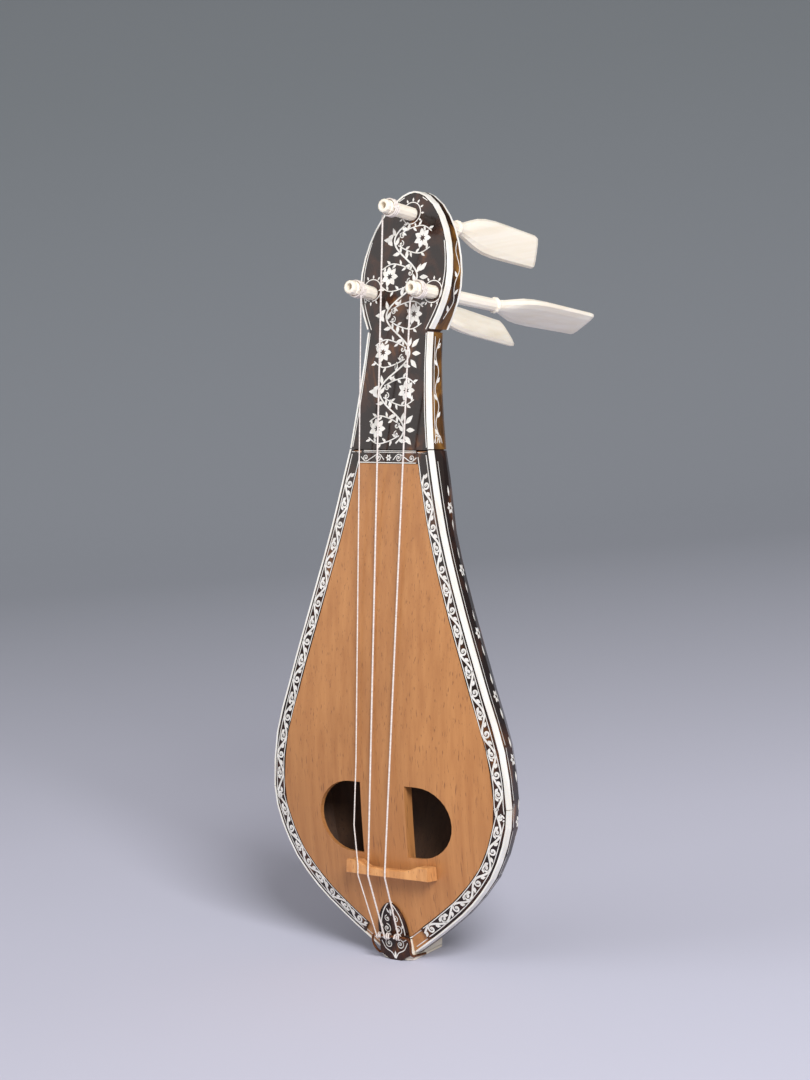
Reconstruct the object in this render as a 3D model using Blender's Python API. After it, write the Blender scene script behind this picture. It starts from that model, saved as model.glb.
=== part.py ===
"""A classical kemence: a bowed lyra with a carved pear-shaped bowl, a veneered neck and head, three
pegs that reach out of the back of the head, three gut strings and two D-shaped soundholes."""

import math

import bmesh
import bpy
from mathutils import Matrix, Vector

# Sizes are in metres. Heights run along the instrument's own axis from the neck joint, positive
# towards the head. Depths run from the face towards the back. Widths are half widths from the axis.

# Clearances and skins
GAP = 0.0003
SKIN = 0.0009
EDGE_DEPTH = 0.0042
REAR_EDGE_DEPTH = 0.0013

# Stance: the foot is cut at an angle, so the instrument leans back on it
LEAN = math.radians(9.5)
FOOT_FRONT_HEIGHT = 0.2701

# Face: one long shallow arc from tail to head, with a crown across the soundboard
FACE_RADIUS = 1.033
FACE_SUMMIT_BELOW_JOINT = 0.075
CROWN = 0.0047
CROWN_FADE_UP = 3.5
CROWN_FADE_DOWN = 0.7

# Body outline and bowl
BODY_LENGTH = 0.266
BODY_WIDEST = 0.183
BODY_HALF_WIDTH = 0.0771
JOINT_HALF_WIDTH = 0.026
TAIL_HALF_WIDTH = 0.0098
BODY_DEEPEST = 0.150
BODY_DEPTH = 0.044
TAIL_DEPTH = 0.0145
BODY_SIDE_DEPTH = 0.0055
BOWL_WALL = 0.0032
UPPER_SHAPE = ((0.0, 0.0), (0.22, 0.19), (0.44, 0.44), (0.66, 0.715), (0.87, 0.955), (1.0, 1.0))
LOWER_SHAPE = ((0.09, 0.99), (0.386, 0.857), (0.627, 0.62), (0.807, 0.347), (0.928, 0.133), (1.0, 0.0))
DEPTH_UPPER = ((0.0, 0.0), (0.12, 0.23), (0.25, 0.5), (0.5, 0.74), (0.75, 0.92), (1.0, 1.0))
DEPTH_LOWER = ((0.17, 0.97), (0.34, 0.84), (0.53, 0.6), (0.73, 0.3), (0.86, 0.14), (1.0, 0.0))
CAVITY_TOP = 0.020
CAVITY_BOTTOM = 0.240
CAVITY_SLOPE_LENGTH = 0.030
CAVITY_END_SHARE = 0.45
CAVITY_REACH = 0.012

# Neck and head
NECK_LENGTH = 0.0615
NECK_TOP_HALF_WIDTH = 0.020
JOINT_DEPTH = 0.0232
NECK_TOP_DEPTH = 0.0177
JOINT_SIDE_DEPTH = 0.0112
NECK_TOP_SIDE_DEPTH = 0.0097
JOINT_CORNER = 0.46
NECK_TOP_CORNER = 0.40
HEEL_LENGTH = 0.050
HEAD_LENGTH = 0.0743
HEAD_WIDEST = 0.0275
HEAD_HALF_WIDTH = 0.0286
HEAD_BASE_DEPTH = 0.016
HEAD_TIP_DEPTH = 0.0084
HEAD_REAR_ROUND = 0.0006

# Soundboard, border and openings
BOARD_THICKNESS = 0.0026
BORDER_WIDTH = 0.0068
BORDER_THICKNESS = 0.0009
HOLE_INNER = 0.0145
HOLE_FLAT = 0.0075
HOLE_REACH = 0.0288
HOLE_HEIGHT = 0.0377
HOLE_MIDDLE = 0.1943
BRACE_HALF_WIDTH = 0.0139
BRACE_DEPTH = 0.0045
BRACE_TOP = 0.160
BRACE_BOTTOM = 0.232
POST_RADIUS = 0.0026
POST_OFFSET = 0.008
POST_CLEARANCE = 0.0011
BACK_VENT_RADIUS = 0.002
BACK_VENT_HEIGHT = 0.232

# Channel that runs down the back of the bowl
CHANNEL_HALF_WIDTH = 0.009
CHANNEL_DEPTH = 0.0018
CHANNEL_SHAPE = ((0.0, 0.16), (0.12, 0.42), (0.45, 1.0), (0.72, 0.9), (0.93, 0.3), (1.0, 0.16))

# Tail: raised plaque on the board, sloping facet, ivory block and foot plate
PLAQUE_LENGTH = 0.018
PLAQUE_THICKNESS = 0.0009
FACET_TOP = 0.2568
FACET_TOP_DEPTH = 0.0105
FACET_SLOPE = math.radians(8)
FACET_THICKNESS = 0.0012
FACET_SHOULDER = 0.2665
FACET_FOOT_HALF_WIDTH = 0.0037
BLOCK_BACK = 0.040
FOOT_PLATE_THICKNESS = 0.0012
CORNER_CUT_DEPTH = 0.003

# Bridge
BRIDGE_HALF_LENGTH = 0.0264
BRIDGE_OFFSET = 0.0056
BRIDGE_LOWER_EDGE = 0.2236
BRIDGE_FOOT_WIDTH = 0.0072
BRIDGE_WAIST_WIDTH = 0.0046
BRIDGE_FOOT_LENGTH = 0.0085
BRIDGE_FRONT = -0.0052
BRIDGE_ARCH = 0.0035

# Pegs
PEG_RADIUS = 0.0037
PEG_BORE_RADIUS = 0.0019
PEG_BORE_DEPTH = 0.007
RING_RADIUS = 0.0045
RING_LENGTH = 0.0026
PADDLE_HALF_WIDTH = 0.0102
PADDLE_END_HALF_WIDTH = 0.0093
PADDLE_THICKNESS = 0.0042
PADDLE_ROOT_THICKNESS = 0.0062
LOWER_PEG_SPACING = 0.040

# Strings and tail wire
WIRE_RADIUS = 0.00065
WIRE_STANDOFF = 0.0028
WIRE_STRAIGHT = 0.0092
WINDING_GAP = 0.00046
LOOP_POINTS = 24
TAIL_LOOPS = 2

# name, side offset, height and depth of the front tip, downward tilt, length, ring distance from the
# tip, turn of the paddle about the peg, string radius, loops wound on, distance of the winding from
# the tip, side on which the string leaves, place on the bridge, place on the tail wire
PEGS = (
    ("left", -LOWER_PEG_SPACING / 2, 0.0845, -0.0106, math.radians(7.6), 0.1450, 0.0700,
     math.radians(-40), 0.00035, 4, 0.0048, 1, -0.0122, -0.0076),
    ("top", 0.0, 0.1263, -0.0085, math.radians(6.6), 0.1400, 0.0640,
     math.radians(4), 0.00045, 3, 0.0046, -1, -0.00535, -0.0021),
    ("right", LOWER_PEG_SPACING / 2, 0.0833, -0.0105, math.radians(4.3), 0.1610, 0.0740,
     math.radians(-125), 0.00045, 3, 0.0050, -1, 0.00575, 0.0045),
)

# Points along an outline or a section
BODY_ROWS = 22
NECK_ROWS = 5
HEAD_ROWS = 12
ARC_STEPS = 6
FACE_STEPS = 6
BOARD_STEPS = 8
PEG_SIDES = 12

NOTCH = NECK_LENGTH
APEX = NECK_LENGTH + HEAD_LENGTH
CORE_INSET = SKIN + GAP
VENEER_TOP = EDGE_DEPTH + GAP


def mixed(low, high, share):
    return low + (high - low) * share


def smoothed(share):
    share = min(max(share, 0.0), 1.0)
    return share * share * (3 - 2 * share)


def along(points, place):
    """Value at a place on a smooth curve through (place, value) points that never overshoots them."""
    count = len(points)
    runs = [points[i + 1][0] - points[i][0] for i in range(count - 1)]
    rates = [(points[i + 1][1] - points[i][1]) / runs[i] for i in range(count - 1)]
    slopes = [rates[0]]
    for i in range(1, count - 1):
        before, after = rates[i - 1], rates[i]
        slopes.append(0.0 if before * after <= 0 else 2 * before * after / (before + after))
    slopes.append(rates[-1])
    i = 0
    while i < count - 2 and place > points[i + 1][0]:
        i += 1
    t = min(max((place - points[i][0]) / runs[i], 0.0), 1.0)
    start, end = points[i][1], points[i + 1][1]
    rise = (2 * t ** 3 - 3 * t ** 2 + 1) * start + (3 * t ** 2 - 2 * t ** 3) * end
    turn = (t ** 3 - 2 * t ** 2 + t) * slopes[i] + (t ** 3 - t ** 2) * slopes[i + 1]
    return rise + turn * runs[i]


def two_runs(upper, lower, joint, peak, tail, peak_place, end_place):
    """Points of a size that grows from the joint to its peak and shrinks again to the tail."""
    points = [(u * peak_place, mixed(joint, peak, v)) for u, v in upper]
    points += [(mixed(peak_place, end_place, u), mixed(tail, peak, v)) for u, v in lower]
    return points


BODY_OUTLINE = two_runs(UPPER_SHAPE, LOWER_SHAPE, JOINT_HALF_WIDTH, BODY_HALF_WIDTH,
                        TAIL_HALF_WIDTH, BODY_WIDEST, BODY_LENGTH)
BODY_DEPTHS = two_runs(DEPTH_UPPER, DEPTH_LOWER, JOINT_DEPTH, BODY_DEPTH,
                       TAIL_DEPTH, BODY_DEEPEST, BODY_LENGTH)


def half_width(z):
    """Half width of the whole outline at a height."""
    if z < 0:
        return along(BODY_OUTLINE, -z)
    if z <= NOTCH:
        return mixed(NECK_TOP_HALF_WIDTH, JOINT_HALF_WIDTH, (1 - z / NECK_LENGTH) ** 1.5)
    above = z - NOTCH - HEAD_WIDEST
    if above < 0:
        return mixed(HEAD_HALF_WIDTH, NECK_TOP_HALF_WIDTH, (-above / HEAD_WIDEST) ** 1.8)
    share = above / (HEAD_LENGTH - HEAD_WIDEST)
    return HEAD_HALF_WIDTH * max(1 - share ** 1.9, 0.0) ** 0.55


def depth(z):
    """Thickness of the instrument from face edge to back at a height."""
    if z < 0:
        return along(BODY_DEPTHS, -z)
    if z <= NOTCH:
        return mixed(NECK_TOP_DEPTH, JOINT_DEPTH, (1 - z / NECK_LENGTH) ** 1.3)
    return mixed(HEAD_BASE_DEPTH, HEAD_TIP_DEPTH, (z - NOTCH) / HEAD_LENGTH)


def side_depth(z, inset):
    """Depth of the straight side before the section turns to the back."""
    if z < 0:
        return mixed(JOINT_SIDE_DEPTH, BODY_SIDE_DEPTH, smoothed(-z / HEEL_LENGTH))
    if z <= NOTCH:
        return mixed(JOINT_SIDE_DEPTH, NECK_TOP_SIDE_DEPTH, z / NECK_LENGTH)
    return depth(z) - inset - HEAD_REAR_ROUND


def corner_share(z):
    """Share of the half width over which the section turns from side to back."""
    if z < 0:
        return mixed(JOINT_CORNER, 1.0, smoothed(-z / HEEL_LENGTH))
    if z <= NOTCH:
        return mixed(JOINT_CORNER, NECK_TOP_CORNER, z / NECK_LENGTH)
    return HEAD_REAR_ROUND / HEAD_HALF_WIDTH


def channel_half_width(z):
    return CHANNEL_HALF_WIDTH * along(CHANNEL_SHAPE, min(max(-z / BODY_LENGTH, 0.0), 1.0))


def channel_depth(z):
    share = channel_half_width(z) / CHANNEL_HALF_WIDTH
    return CHANNEL_DEPTH * smoothed(share) if z < 0 else 0.0


def face_edge(z):
    """Depth of the face's edge at a height: an arc whose summit lies below the joint."""
    return (z * z + 2 * FACE_SUMMIT_BELOW_JOINT * z) / (2 * FACE_RADIUS)


def crown(z):
    width = half_width(z) / BODY_HALF_WIDTH
    fade = CROWN_FADE_UP if z > -BODY_WIDEST else CROWN_FADE_DOWN
    return CROWN * width ** fade


def face(x, z):
    """Depth of the face's surface at a point."""
    share = min(abs(x) / max(half_width(z), 0.0001), 1.0)
    return face_edge(z) - crown(z) * (1 - share * share)


def floor_height(y):
    """Height of the plane that the foot stands on, at a depth."""
    return -FOOT_FRONT_HEIGHT + (y - FACET_TOP_DEPTH) * math.tan(LEAN)


def inset_row(z, inset):
    """(half width, height) of the outline's point at a height, moved inwards square to the outline."""
    step = 1e-6
    slope = (half_width(z + step) - half_width(z - step)) / (2 * step)
    length = math.hypot(1, slope)
    return half_width(z) - inset / length, z + inset * slope / length


def heights(low, high, count):
    """Heights from low to high that are evenly spaced along the outline."""
    dense = [high - (high - low) * (1 - i / 500) ** 2 for i in range(501)]
    lengths = [0.0]
    for below, above in zip(dense, dense[1:]):
        lengths.append(lengths[-1] + math.hypot(above - below, half_width(above) - half_width(below)))
    found = []
    index = 0
    for k in range(count):
        wanted = lengths[-1] * k / (count - 1)
        while index < len(dense) - 2 and lengths[index + 1] < wanted:
            index += 1
        span = lengths[index + 1] - lengths[index]
        found.append(mixed(dense[index], dense[index + 1], (wanted - lengths[index]) / span))
    found[0], found[-1] = low, high
    return found


def back_depth(z, inset, x):
    """Depth of the back, without its channel, at a point of the section at a height."""
    width = inset_row(z, inset)[0]
    corner = corner_share(z) * width
    side = side_depth(z, inset)
    reach = max(abs(x) - (width - corner), 0.0) / corner
    return side + (depth(z) - inset - side) * math.sqrt(max(1 - reach * reach, 0.0))


def half_section(z, inset, start, edge):
    """(x, depth) points from the right side's start round to the back at x = edge."""
    width = inset_row(z, inset)[0]
    corner = corner_share(z) * width
    flat = width - corner
    side = side_depth(z, inset)
    deep = depth(z) - inset
    has_flat = edge < flat
    last = math.pi / 2 if has_flat else math.acos(min((edge - flat) / corner, 1.0))
    steps = ARC_STEPS if has_flat else ARC_STEPS + 1
    points = [(width, start), (width, (start + side) / 2)]
    for i in range(steps + 1):
        angle = last * i / steps
        points.append((flat + corner * math.cos(angle), side + (deep - side) * math.sin(angle)))
    if has_flat:
        points.append((edge, deep))
    return points


def channel_points(z, inset, edge):
    """(x, depth) points across the back's channel from x = edge to the axis."""
    points = []
    for share in (0.66, 0.33, 0.0):
        x = edge * share
        points.append((x, back_depth(z, inset, x) - channel_depth(z) * (1 - share * share)))
    return points


def mirrored(points):
    return [(-x, d) for x, d in reversed(points)]


def placed(points, z, inset):
    """Section points as positions: their depths start at the face's edge."""
    height = inset_row(z, inset)[1]
    return [Vector((x, face_edge(z) + d, height)) for x, d in points]


def new_material(name, colour, roughness, metallic=0.0):
    material = bpy.data.materials.new(name)
    material.use_nodes = True
    shader = material.node_tree.nodes["Principled BSDF"]
    shader.inputs["Base Color"].default_value = (*colour, 1)
    shader.inputs["Roughness"].default_value = roughness
    shader.inputs["Metallic"].default_value = metallic
    material.diffuse_color = (*colour, 1)
    return material


def finish(name, mesh, material, collection, sharp=35):
    mesh.materials.append(material)
    mesh.shade_smooth()
    mesh.set_sharp_from_angle(angle=math.radians(sharp))
    obj = bpy.data.objects.new(name, mesh)
    collection.objects.link(obj)
    return obj


def mesh_from(name, bm):
    bmesh.ops.recalc_face_normals(bm, faces=bm.faces)
    mesh = bpy.data.meshes.new(name)
    bm.to_mesh(mesh)
    bm.free()
    return mesh


def loft(rings, thin=False):
    """A closed solid through rings of points. A face closes each end, or on a thin shell a strip of
    faces between the ring's outward run and its way back."""
    bm = bmesh.new()
    rows = [[bm.verts.new(point) for point in ring] for ring in rings]
    for lower, upper in zip(rows, rows[1:]):
        for i in range(len(lower)):
            j = (i + 1) % len(lower)
            bm.faces.new((lower[i], lower[j], upper[j], upper[i]))
    if thin:
        for row in (rows[0], rows[-1]):
            for i in range(len(row) // 2 - 1):
                bm.faces.new((row[i], row[i + 1], row[-i - 2], row[-i - 1]))
        return bm
    caps = [bm.faces.new(rows[0]), bm.faces.new(rows[-1])]
    bmesh.ops.triangulate(bm, faces=caps)
    return bm


def edge_strip(z_values, side, shallow, deep):
    """A strip along one side of the outline, between two depths that may vary with height."""
    rings = []
    for z in z_values:
        near, far = shallow(z), deep(z)
        outer = placed([(half_width(z), near), (half_width(z), far)], z, 0)
        inner_width = inset_row(z, SKIN)[0]
        inner = placed([(inner_width, far), (inner_width, near)], z, SKIN)
        rings.append([Vector((side * p.x, p.y, p.z)) for p in outer + inner])
    return loft(rings)


def face_panel(rows, top, bottom, steps):
    """A panel on the face between two depths below its surface: rows give (height, left, right)."""
    rings = []
    for z, left, right in rows:
        across = [mixed(left, right, i / steps) for i in range(steps + 1)]
        front = [Vector((x, face(x, z) + top, z)) for x in across]
        rear = [Vector((x, face(x, z) + bottom, z)) for x in reversed(across)]
        rings.append(front + rear)
    return loft(rings, thin=True)


def inset_span(z_values, inset):
    """(height, half width) rows of the outline moved inwards."""
    return [(inset_row(z, inset)[1], inset_row(z, inset)[0]) for z in z_values]


def width_in_rows(rows, z):
    """Half width at a height, read off (height, half width) rows in rising order."""
    for (z0, w0), (z1, w1) in zip(rows, rows[1:]):
        if z <= z1:
            return mixed(w0, w1, (z - z0) / (z1 - z0))
    return rows[-1][1]


def curve_tube(name, points, radius, material, collection, resolution):
    curve = bpy.data.curves.new(name, "CURVE")
    curve.dimensions = "3D"
    curve.bevel_depth = radius
    curve.bevel_resolution = resolution
    curve.use_fill_caps = True
    spline = curve.splines.new("POLY")
    spline.points.add(len(points) - 1)
    for place, point in zip(spline.points, points):
        place.co = (*point, 1)
    curve.materials.append(material)
    obj = bpy.data.objects.new(name, curve)
    collection.objects.link(obj)
    return obj


def flowing(points, steps):
    """Points along a smooth curve through the given ones."""
    ends = [points[0] * 2 - points[1]] + list(points) + [points[-1] * 2 - points[-2]]
    found = []
    for a, b, c, d in zip(ends, ends[1:], ends[2:], ends[3:]):
        for i in range(steps):
            t = i / steps
            found.append(0.5 * (2 * b + (c - a) * t + (2 * a - 5 * b + 4 * c - d) * t ** 2
                                + (3 * b - a - 3 * c + d) * t ** 3))
    found.append(points[-1].copy())
    return found


def cut(obj, cutter, name):
    modifier = obj.modifiers.new(name, "BOOLEAN")
    modifier.operation = "DIFFERENCE"
    modifier.object = cutter


def make_cutter(name, bm, collection):
    obj = bpy.data.objects.new(name, mesh_from(name, bm))
    obj.hide_render = True
    obj.display_type = "WIRE"
    collection.objects.link(obj)
    return obj


def box(low, high):
    """A box between two corners."""
    bm = bmesh.new()
    bmesh.ops.create_cube(bm, size=1)
    size = Vector(high) - Vector(low)
    bmesh.ops.scale(bm, vec=size, verts=bm.verts)
    bmesh.ops.translate(bm, vec=(Vector(low) + Vector(high)) / 2, verts=bm.verts)
    return bm


def prism(outline, axis, low, high):
    """A flat outline drawn out along an axis between two places on it."""
    def point(place, a, b):
        return Vector((a, place, b)) if axis == "Y" else Vector((place, a, b))
    return loft([[point(low, a, b) for a, b in outline], [point(high, a, b) for a, b in outline]])


def head_stations():
    """Heights of the head's rows, which all its skins share, up to a tip of almost no width."""
    tip_share = 1 - (GAP / 2 / HEAD_HALF_WIDTH) ** (1 / 0.55)
    tip = NOTCH + HEAD_WIDEST + (HEAD_LENGTH - HEAD_WIDEST) * tip_share ** (1 / 1.9)
    rows = heights(NOTCH + 2 * HEAD_REAR_ROUND, tip, HEAD_ROWS)
    return rows[:-1] + [APEX - 2 * GAP, tip]


# Carved body: bowl, neck and head in one piece
def carved_body():
    rings = []
    body = heights(-BODY_LENGTH, -GAP, BODY_ROWS)
    neck = heights(GAP / 2, NOTCH, NECK_ROWS)
    for z in body + neck + head_stations()[:-1]:
        front = BOARD_THICKNESS + GAP if z < 0 else CORE_INSET
        edge = channel_half_width(z)
        half = half_section(z, CORE_INSET, front, edge) + channel_points(z, CORE_INSET, edge)
        width = half[0][0]
        back = half + mirrored(half[:-1])
        across = [-width + 2 * width * i / FACE_STEPS for i in range(1, FACE_STEPS)]
        front_points = [(x, front - crown(z) * (1 - (x / width) ** 2)) for x in across]
        rings.append(placed(back + front_points, z, CORE_INSET))
    return loft(rings)


def cavity():
    """The hollow of the bowl, open through the front, shallower towards the neck."""
    rings = []
    inset = CORE_INSET + BOWL_WALL
    for z in heights(-CAVITY_BOTTOM, -CAVITY_TOP, BODY_ROWS - 4):
        fill = min((-z - CAVITY_TOP) / CAVITY_SLOPE_LENGTH, 1.0)
        share = mixed(CAVITY_END_SHARE, 1.0, math.sqrt(fill))
        half = half_section(z, inset, -CAVITY_REACH, 0.0)
        side = [(x, d if d < 0 else d * share) for x, d in half]
        rings.append(placed(side + mirrored(side[:-1]), z, inset))
    return loft(rings)


def cavity_back(x, z):
    """Depth below the face's edge of the bowl's inside at a point."""
    return back_depth(z, CORE_INSET + BOWL_WALL, x)


# Soundboard: a full plate with a raised field inside the border
def board_rows(inset, low, high, count):
    return inset_span(heights(low, high, count), inset)


def soundboard_base():
    rows = [(z, -w, w) for z, w in board_rows(CORE_INSET, -BODY_LENGTH, -2 * GAP, BODY_ROWS)]
    return face_panel(rows, BORDER_THICKNESS + GAP, BOARD_THICKNESS, BOARD_STEPS)


def border_inner(z_values):
    return inset_span(z_values, CORE_INSET + BORDER_WIDTH + GAP)


def soundboard_field():
    top = -2 * GAP - BORDER_WIDTH - GAP
    low = -FACET_TOP
    inner = border_inner(heights(-BODY_LENGTH, -2 * GAP, BODY_ROWS))
    rows = [(z, -w, w) for z, w in inner if low + 0.001 < z < top - 0.002]
    first = (low, -width_in_rows(inner, low), width_in_rows(inner, low))
    last = (top, -width_in_rows(inner, top), width_in_rows(inner, top))
    return face_panel([first] + rows + [last], 0.0, mixed(BORDER_THICKNESS, BOARD_THICKNESS, 0.7),
                      BOARD_STEPS)


def soundhole_outline(side):
    middle = -HOLE_MIDDLE
    half = HOLE_HEIGHT / 2
    points = [(HOLE_INNER, middle - half)]
    centre = HOLE_INNER + HOLE_FLAT
    for i in range(17):
        angle = math.radians(-90 + 180 * i / 16)
        points.append((centre + (HOLE_REACH - HOLE_FLAT) * math.cos(angle),
                       middle + half * math.sin(angle)))
    points.append((HOLE_INNER, middle + half))
    return [(side * x, z) for x, z in points]


# Border veneer round the soundboard
def border_side(side):
    rings = []
    floor = TAIL_HALF_WIDTH + GAP
    for z in heights(-BODY_LENGTH, -2 * GAP, BODY_ROWS):
        outer, outer_z = inset_row(z, CORE_INSET)
        inner, inner_z = inset_row(z, CORE_INSET + BORDER_WIDTH)
        if inner < floor:
            share = (outer - floor) / (outer - inner)
            inner, inner_z = floor, mixed(outer_z, inner_z, share)
        if outer - inner < 0.0008:
            continue
        inner_z = min(inner_z, -2 * GAP)
        outer_z = min(outer_z, -2 * GAP)
        ring = []
        for i in range(3):
            x, h = mixed(outer, inner, i / 2), mixed(outer_z, inner_z, i / 2)
            ring.append(Vector((side * x, face(x, h), h)))
        for i in range(3):
            x, h = mixed(inner, outer, i / 2), mixed(inner_z, outer_z, i / 2)
            ring.append(Vector((side * x, face(x, h) + BORDER_THICKNESS, h)))
        rings.append(ring)
    return loft(rings)


def border_top():
    top = -2 * GAP
    bottom = top - BORDER_WIDTH
    ends = border_inner(heights(-0.030, -0.001, 60))
    rows = []
    for i in range(3):
        z = mixed(bottom, top, i / 2)
        w = width_in_rows(ends, z)
        rows.append((z, -w, w))
    return face_panel(rows, 0.0, BORDER_THICKNESS, FACE_STEPS)


# Neck and head skins
def faceplate():
    z_values = heights(0.0, NOTCH, NECK_ROWS) + head_stations()
    rows = [(z, -w, w) for z, w in inset_span(z_values, CORE_INSET)]
    return face_panel(rows, 0.0, SKIN, FACE_STEPS)


def head_back():
    rings = []
    for z in head_stations()[1:]:
        width, height = inset_row(z, CORE_INSET)
        near, far = depth(z) - SKIN, depth(z)
        ring = [(width, near), (width, far), (-width, far), (-width, near)]
        rings.append([Vector((x, face_edge(z) + d, height)) for x, d in ring])
    return loft(rings)


def neck_veneer():
    rings = []
    for z in heights(GAP, NOTCH - GAP, NECK_ROWS):
        outer = half_section(z, 0, VENEER_TOP, 0.002)
        inner = half_section(z, SKIN, VENEER_TOP, 0.002)
        outside = placed(outer + mirrored(outer), z, 0)
        inside = placed(inner + mirrored(inner), z, SKIN)
        rings.append(outside + list(reversed(inside)))
    return loft(rings, thin=True)


# Bowl skins
def bowl_veneer(side):
    rings = []
    for z in heights(-BODY_LENGTH, -GAP, BODY_ROWS):
        edge = channel_half_width(z) + GAP / 2
        outer = placed(half_section(z, 0, VENEER_TOP, edge), z, 0)
        inner = placed(half_section(z, SKIN, VENEER_TOP, edge), z, SKIN)
        ring = outer + list(reversed(inner))
        rings.append([Vector((side * p.x, p.y, p.z)) for p in ring])
    return loft(rings, thin=True)


def channel_strip():
    rings = []
    for z in heights(-FACET_TOP - GAP, -GAP, BODY_ROWS - 6):
        edge = channel_half_width(z) - GAP / 2
        ring = []
        for inset in (0, SKIN):
            half = [(edge, back_depth(z, inset, edge))] + channel_points(z, inset, edge)
            points = placed(half + mirrored(half[:-1]), z, inset)
            ring += points if inset == 0 else list(reversed(points))
        rings.append(ring)
    return loft(rings, thin=True)


# Tail
def plaque():
    rows = []
    low = -FACET_TOP + GAP
    for i in range(11):
        share = 0.02 + 0.98 * i / 10
        z = low + PLAQUE_LENGTH * (1 - share ** 1.5)
        width = TAIL_HALF_WIDTH * (1 - (1 - share ** 1.5) ** 2.2) ** 0.6
        rows.append((z, -width, width))
    return face_panel(rows, -GAP - PLAQUE_THICKNESS, -GAP, 6)


def facet_depth(z):
    """Depth of the tail facet's front at a height."""
    return FACET_TOP_DEPTH + (-FACET_TOP - z) * math.tan(FACET_SLOPE)


def facet():
    bottom = -FOOT_FRONT_HEIGHT + GAP
    half = TAIL_HALF_WIDTH
    outline = [(-half, -FACET_TOP), (half, -FACET_TOP), (half, -FACET_SHOULDER),
               (FACET_FOOT_HALF_WIDTH, bottom), (-FACET_FOOT_HALF_WIDTH, bottom),
               (-half, -FACET_SHOULDER)]
    front = [Vector((x, facet_depth(z), z)) for x, z in outline]
    rear = [Vector((x, facet_depth(z) + FACET_THICKNESS, z)) for x, z in outline]
    return loft([front, rear])


def cut_tail_corners(bm):
    """Cuts the two lower front corners, as the facet's lower edges run."""
    for side in (-1, 1):
        start = Vector((side * TAIL_HALF_WIDTH, facet_depth(-FACET_SHOULDER), -FACET_SHOULDER))
        foot = -FOOT_FRONT_HEIGHT
        end = Vector((side * FACET_FOOT_HALF_WIDTH, facet_depth(foot), foot))
        back = facet_depth(foot) + CORNER_CUT_DEPTH
        rear = Vector((side * TAIL_HALF_WIDTH, back, floor_height(back)))
        normal = (end - start).cross(rear - start).normalized()
        if normal.x * side < 0:
            normal.negate()
        result = bmesh.ops.bisect_plane(bm, geom=bm.verts[:] + bm.edges[:] + bm.faces[:],
                                        plane_co=start, plane_no=normal, clear_outer=True)
        edges = [e for e in result["geom_cut"] if isinstance(e, bmesh.types.BMEdge)]
        bmesh.ops.edgeloop_fill(bm, edges=edges)
    return bm


def tail_block():
    front_top = facet_depth(-FACET_TOP) + FACET_THICKNESS + GAP
    foot = -FOOT_FRONT_HEIGHT + 0.002
    front_low = facet_depth(foot) + FACET_THICKNESS + GAP
    rise = (FOOT_PLATE_THICKNESS + GAP) / math.cos(LEAN)
    outline = [(front_top, -FACET_TOP - 3 * GAP), (front_low, floor_height(front_low) + rise),
               (BLOCK_BACK, floor_height(BLOCK_BACK) + rise), (BLOCK_BACK, -FACET_TOP - 3 * GAP)]
    bm = prism(outline, "X", -TAIL_HALF_WIDTH, TAIL_HALF_WIDTH)
    return cut_tail_corners(bm)


def foot_plate():
    front = foot_front()
    rise = FOOT_PLATE_THICKNESS / math.cos(LEAN)
    outline = [(front, floor_height(front)), (BLOCK_BACK, floor_height(BLOCK_BACK)),
               (BLOCK_BACK, floor_height(BLOCK_BACK) + rise), (front, floor_height(front) + rise)]
    bm = prism(outline, "X", -TAIL_HALF_WIDTH, TAIL_HALF_WIDTH)
    return cut_tail_corners(bm)


def foot_front():
    return facet_depth(-FOOT_FRONT_HEIGHT) + FACET_THICKNESS + GAP


def wire_route():
    """The tail wire: along the fold, down both sides of the facet and back beside the block."""
    bar = FACET_TOP_DEPTH - WIRE_STANDOFF
    out = TAIL_HALF_WIDTH + GAP + WIRE_RADIUS
    low = -FOOT_FRONT_HEIGHT + 0.0030
    rear = 0.024
    left = [(-out, rear, -0.2666), (-out, 0.0165, -0.2668), (-out - 0.0002, 0.0125, -0.2666),
            (-out - 0.0016, 0.0098, -0.2632), (-out - 0.0022, 0.0088, -0.2600),
            (-out - 0.0012, 0.0080, -0.2574)]
    middle = [(x, bar, -FACET_TOP) for x in (-WIRE_STRAIGHT, 0.0, WIRE_STRAIGHT)]
    right = [(out + 0.0008, 0.0084, -0.2580), (out + 0.0008, 0.0096, -0.2612), (out + 0.0003, 0.0106, -0.2648),
             (out, 0.0130, low + 0.0003), (out, 0.0155, low + 0.0003), (out, rear, -0.2666)]
    return flowing([Vector(p) for p in left + middle + right], 2)


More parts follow.
